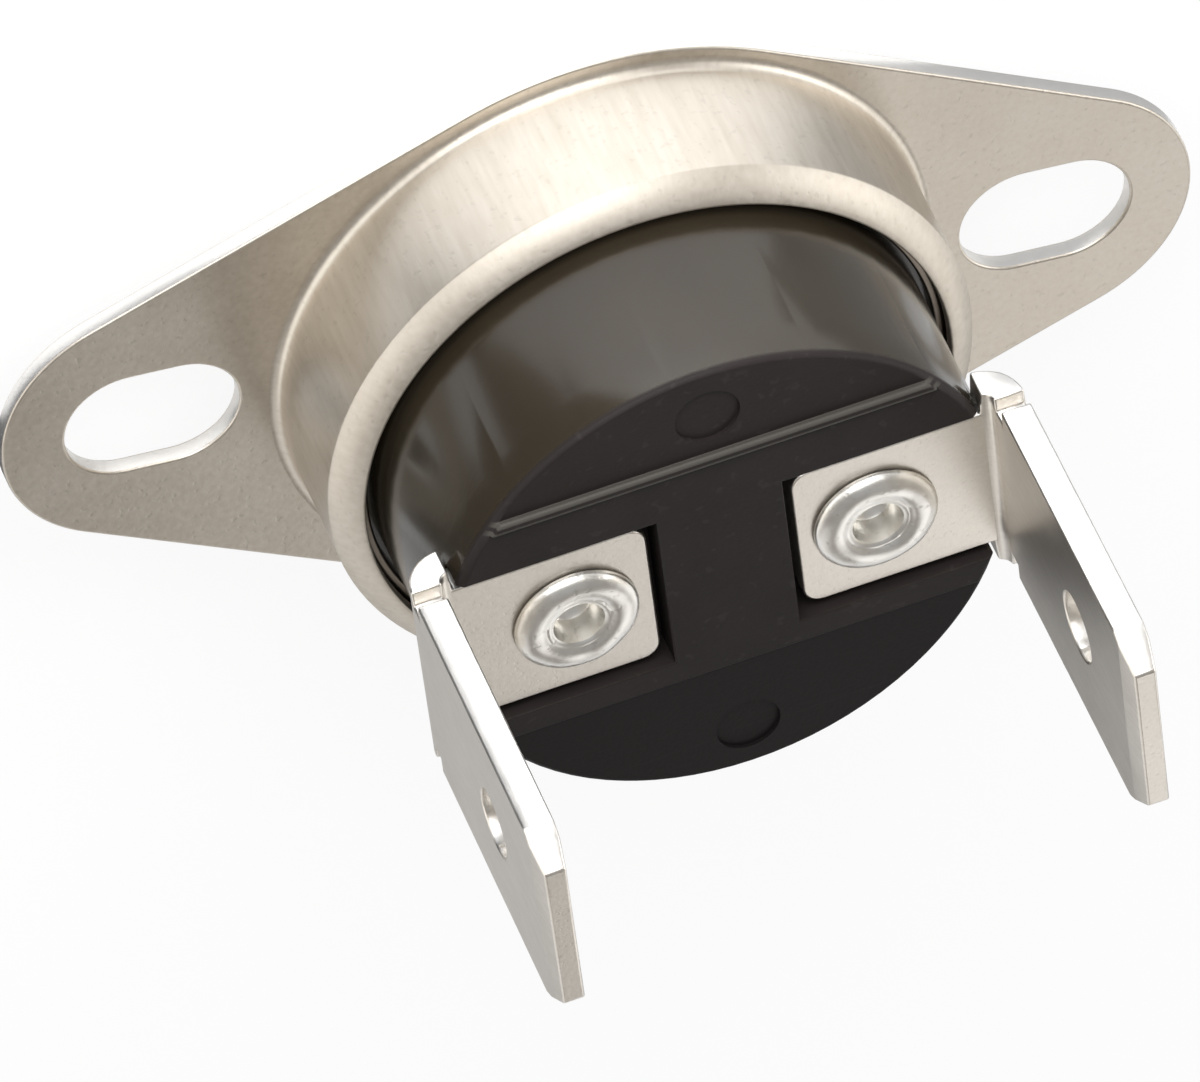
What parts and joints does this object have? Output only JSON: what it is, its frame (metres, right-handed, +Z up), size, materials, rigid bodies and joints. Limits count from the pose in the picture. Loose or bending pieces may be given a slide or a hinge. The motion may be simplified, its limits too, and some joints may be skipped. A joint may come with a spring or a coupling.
{
  "type": "microwave oven thermostat",
  "caption": "Round snap-disc temperature switch with a loose two-slot mounting flange and two upright 6.3 mm quick-connect tabs.",
  "frame": {"origin": "centre of the flat sensing face", "axes": "+Z up the axis of the switch towards the tabs; +X along the line of the two mounting slots"},
  "size_m": [0.0318, 0.0182, 0.0216],
  "materials": {
    "flange_steel": "satin nickel-plated steel, brushed up the collar",
    "cup_aluminium": "bright drawn aluminium",
    "bimetal": "rolled bimetal sheet",
    "guide_phenolic": "moulded phenolic",
    "pin_ceramic": "unglazed ceramic",
    "case_phenolic": "black moulded phenolic, glossy wall and duller end face",
    "tab_nickel": "nickel-plated brass strip with sheared edges",
    "rivet_nickel": "bright nickel-plated brass",
    "bracket_brass": "plain brass strip",
    "arm_copper": "beryllium copper leaf",
    "contact_silver": "fine silver"
  },
  "bodies": {
    "housing": {"sensing_cup": "cup_aluminium", "bimetal_disc": "bimetal", "disc_guide": "guide_phenolic", "case": "case_phenolic", "arm_tab": "tab_nickel", "contact_tab": "tab_nickel", "arm_tab_rivet": "rivet_nickel", "contact_tab_rivet": "rivet_nickel", "arm_bracket": "bracket_brass", "arm_rivet": "bracket_brass", "contact_bracket": "bracket_brass", "fixed_contact": "contact_silver"},
    "flange_ring": {"mounting_flange": "flange_steel"},
    "pin": {"push_pin": "pin_ceramic"},
    "arm": {"spring_arm": "arm_copper", "moving_contact": "contact_silver"}
  },
  "joints": [
    {"name": "flange_turn", "type": "hinge", "parent": "housing", "child": "flange_ring", "pos_m": [0, 0, 0], "axis": [0, 0, 1], "continuous": true},
    {"name": "pin_slide", "type": "slide", "parent": "housing", "child": "pin", "axis": [0, 0, 1], "range_m": [0, 0.0004], "stiffness_N_per_m": 400, "deforming": ["bimetal_disc"]},
    {"name": "arm_flex", "type": "hinge", "parent": "housing", "child": "arm", "pos_m": [0.00297, 0.00042, 0.007], "axis": [-0.1392, 0.9903, 0], "range_deg": [0, 7.7], "deforming": ["spring_arm"]}
  ],
  "couplings": [
    {"joint": "arm_flex", "follows": "pin_slide", "rad_per_m": 333.33}
  ]
}
